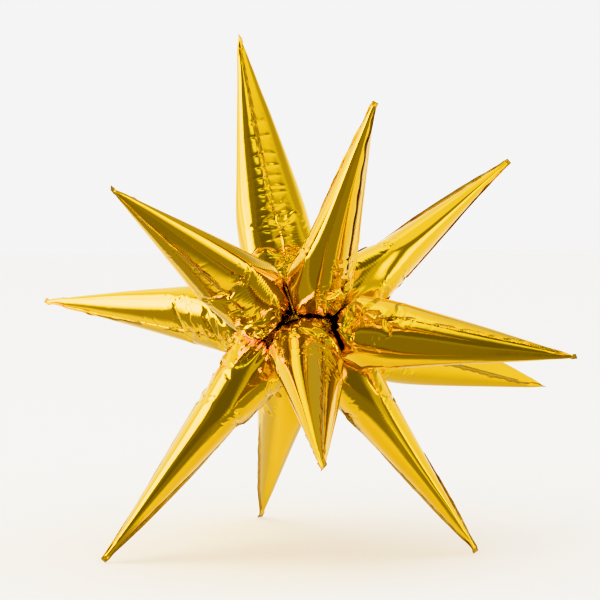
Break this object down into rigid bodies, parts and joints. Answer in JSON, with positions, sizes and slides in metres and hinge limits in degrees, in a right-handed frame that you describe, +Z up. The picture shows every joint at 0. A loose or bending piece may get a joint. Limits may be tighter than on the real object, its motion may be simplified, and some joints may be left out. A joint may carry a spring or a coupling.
{
  "type": "foil starburst balloon",
  "caption": "Gold foil exploding-star balloon: long inflated cones tied together by their tails, standing on the tips of the lower ones.",
  "frame": {"origin": "centre of the cord loop that ties the cones' tails, level with the loop", "axes": "+Z up, square to the cord loop; +Y to the back; +X to the right seen from the front"},
  "size_m": [0.615, 0.6691, 0.5988],
  "materials": {
    "gold_film": "mirror-bright gold metallised film",
    "valve_film": "clear film",
    "cord": "white braided cord"
  },
  "bodies": {
    "tie": {"tie_cord": "cord", "tie_knot": "cord"},
    "tail_body_01": {"tail_01": "gold_film", "valve_01": "valve_film"},
    "cone_body_01": {"panel_front_01": "gold_film", "panel_back_01": "gold_film"},
    "tail_body_02": {"tail_02": "gold_film", "valve_02": "valve_film"},
    "cone_body_02": {"panel_front_02": "gold_film", "panel_back_02": "gold_film"},
    "tail_body_03": {"tail_03": "gold_film", "valve_03": "valve_film"},
    "cone_body_03": {"panel_front_03": "gold_film", "panel_back_03": "gold_film"},
    "tail_body_04": {"tail_04": "gold_film", "valve_04": "valve_film"},
    "cone_body_04": {"panel_front_04": "gold_film", "panel_back_04": "gold_film"},
    "tail_body_05": {"tail_05": "gold_film", "valve_05": "valve_film"},
    "cone_body_05": {"panel_front_05": "gold_film", "panel_back_05": "gold_film"},
    "tail_body_06": {"tail_06": "gold_film", "valve_06": "valve_film"},
    "cone_body_06": {"panel_front_06": "gold_film", "panel_back_06": "gold_film"},
    "tail_body_07": {"tail_07": "gold_film", "valve_07": "valve_film"},
    "cone_body_07": {"panel_front_07": "gold_film", "panel_back_07": "gold_film"},
    "tail_body_08": {"tail_08": "gold_film", "valve_08": "valve_film"},
    "cone_body_08": {"panel_front_08": "gold_film", "panel_back_08": "gold_film"},
    "tail_body_09": {"tail_09": "gold_film", "valve_09": "valve_film"},
    "cone_body_09": {"panel_front_09": "gold_film", "panel_back_09": "gold_film"},
    "tail_body_10": {"tail_10": "gold_film", "valve_10": "valve_film"},
    "cone_body_10": {"panel_front_10": "gold_film", "panel_back_10": "gold_film"},
    "tail_body_11": {"tail_11": "gold_film", "valve_11": "valve_film"},
    "cone_body_11": {"panel_front_11": "gold_film", "panel_back_11": "gold_film"},
    "tail_body_12": {"tail_12": "gold_film", "valve_12": "valve_film"},
    "cone_body_12": {"panel_front_12": "gold_film", "panel_back_12": "gold_film"}
  },
  "joints": [
    {"name": "lean_01", "type": "hinge", "parent": "tie", "child": "tail_body_01", "pos_m": [-0.00985, 0.01261, 0], "axis": [0.788, 0.6157, 0], "range_deg": [-4, 4]},
    {"name": "twist_01", "type": "hinge", "parent": "tail_body_01", "child": "cone_body_01", "pos_m": [-0.00985, 0.01261, 0], "axis": [-0.1697, 0.2172, 0.9613], "range_deg": [-8, 8]},
    {"name": "lean_02", "type": "hinge", "parent": "tie", "child": "tail_body_02", "pos_m": [0.00599, -0.01483, 0], "axis": [-0.9272, -0.3746, 0], "range_deg": [-3, 3]},
    {"name": "twist_02", "type": "hinge", "parent": "tail_body_02", "child": "cone_body_02", "pos_m": [0.00599, -0.01483, 0], "axis": [0.2306, -0.5708, 0.788], "range_deg": [-8, 8]},
    {"name": "lean_03", "type": "hinge", "parent": "tie", "child": "tail_body_03", "pos_m": [0.01483, 0.00599, 0], "axis": [0.3746, -0.9272, 0], "range_deg": [-2, 2]},
    {"name": "twist_03", "type": "hinge", "parent": "tail_body_03", "child": "cone_body_03", "pos_m": [0.01483, 0.00599, 0], "axis": [0.7501, 0.3031, 0.5878], "range_deg": [-8, 8]},
    {"name": "lean_04", "type": "hinge", "parent": "tie", "child": "tail_body_04", "pos_m": [0.01357, -0.00848, 0], "axis": [-0.5299, -0.848, 0], "range_deg": [-2, 2]},
    {"name": "twist_04", "type": "hinge", "parent": "tail_body_04", "child": "cone_body_04", "pos_m": [0.01357, -0.00848, 0], "axis": [0.8469, -0.5292, -0.0523], "range_deg": [-8, 8]},
    {"name": "lean_05", "type": "hinge", "parent": "tie", "child": "tail_body_05", "pos_m": [0.01357, 0.00848, 0], "axis": [0.5299, -0.848, 0], "range_deg": [-2, 2]},
    {"name": "twist_05", "type": "hinge", "parent": "tail_body_05", "child": "cone_body_05", "pos_m": [0.01357, 0.00848, 0], "axis": [0.8152, 0.5094, -0.2756], "range_deg": [-8, 8]},
    {"name": "lean_06", "type": "hinge", "parent": "tie", "child": "tail_body_06", "pos_m": [0.01553, -0.00387, 0], "axis": [-0.2419, -0.9703, 0], "range_deg": [-2, 2]},
    {"name": "twist_06", "type": "hinge", "parent": "tail_body_06", "child": "cone_body_06", "pos_m": [0.01553, -0.00387, 0], "axis": [0.5749, -0.1433, -0.8056], "range_deg": [-8, 8]},
    {"name": "lean_07", "type": "hinge", "parent": "tie", "child": "tail_body_07", "pos_m": [0.00112, -0.01596, 0], "axis": [-0.9976, -0.0698, 0], "range_deg": [-4, 4]},
    {"name": "twist_07", "type": "hinge", "parent": "tail_body_07", "child": "cone_body_07", "pos_m": [0.00112, -0.01596, 0], "axis": [0.0651, -0.9313, -0.3584], "range_deg": [-8, 8]},
    {"name": "lean_08", "type": "hinge", "parent": "tie", "child": "tail_body_08", "pos_m": [-0.0036, 0.01559, 0], "axis": [0.9744, 0.225, 0], "range_deg": [-4, 4]},
    {"name": "twist_08", "type": "hinge", "parent": "tail_body_08", "child": "cone_body_08", "pos_m": [-0.0036, 0.01559, 0], "axis": [-0.1434, 0.6212, -0.7704], "range_deg": [-8, 8]},
    {"name": "lean_09", "type": "hinge", "parent": "tie", "child": "tail_body_09", "pos_m": [-0.01494, -0.00573, 0], "axis": [-0.3584, 0.9336, 0], "range_deg": [-4, 4]},
    {"name": "twist_09", "type": "hinge", "parent": "tail_body_09", "child": "cone_body_09", "pos_m": [-0.01494, -0.00573, 0], "axis": [-0.6169, -0.2368, -0.7506], "range_deg": [-8, 8]},
    {"name": "lean_10", "type": "hinge", "parent": "tie", "child": "tail_body_10", "pos_m": [-0.01413, 0.00751, 0], "axis": [0.4695, 0.8829, 0], "range_deg": [-4, 4]},
    {"name": "twist_10", "type": "hinge", "parent": "tail_body_10", "child": "cone_body_10", "pos_m": [-0.01413, 0.00751, 0], "axis": [-0.8817, 0.4688, 0.0523], "range_deg": [-8, 8]},
    {"name": "lean_11", "type": "hinge", "parent": "tie", "child": "tail_body_11", "pos_m": [-0.01111, -0.01151, 0], "axis": [-0.7193, 0.6947, 0], "range_deg": [-3, 3]},
    {"name": "twist_11", "type": "hinge", "parent": "tail_body_11", "child": "cone_body_11", "pos_m": [-0.01111, -0.01151, 0], "axis": [-0.5891, -0.61, 0.5299], "range_deg": [-8, 8]},
    {"name": "lean_12", "type": "hinge", "parent": "tie", "child": "tail_body_12", "pos_m": [0.00028, 0.016, 0], "axis": [0.9998, -0.0175, 0], "range_deg": [-4, 4]},
    {"name": "twist_12", "type": "hinge", "parent": "tail_body_12", "child": "cone_body_12", "pos_m": [0.00028, 0.016, 0], "axis": [0.0169, 0.9701, 0.2419], "range_deg": [-8, 8]}
  ]
}
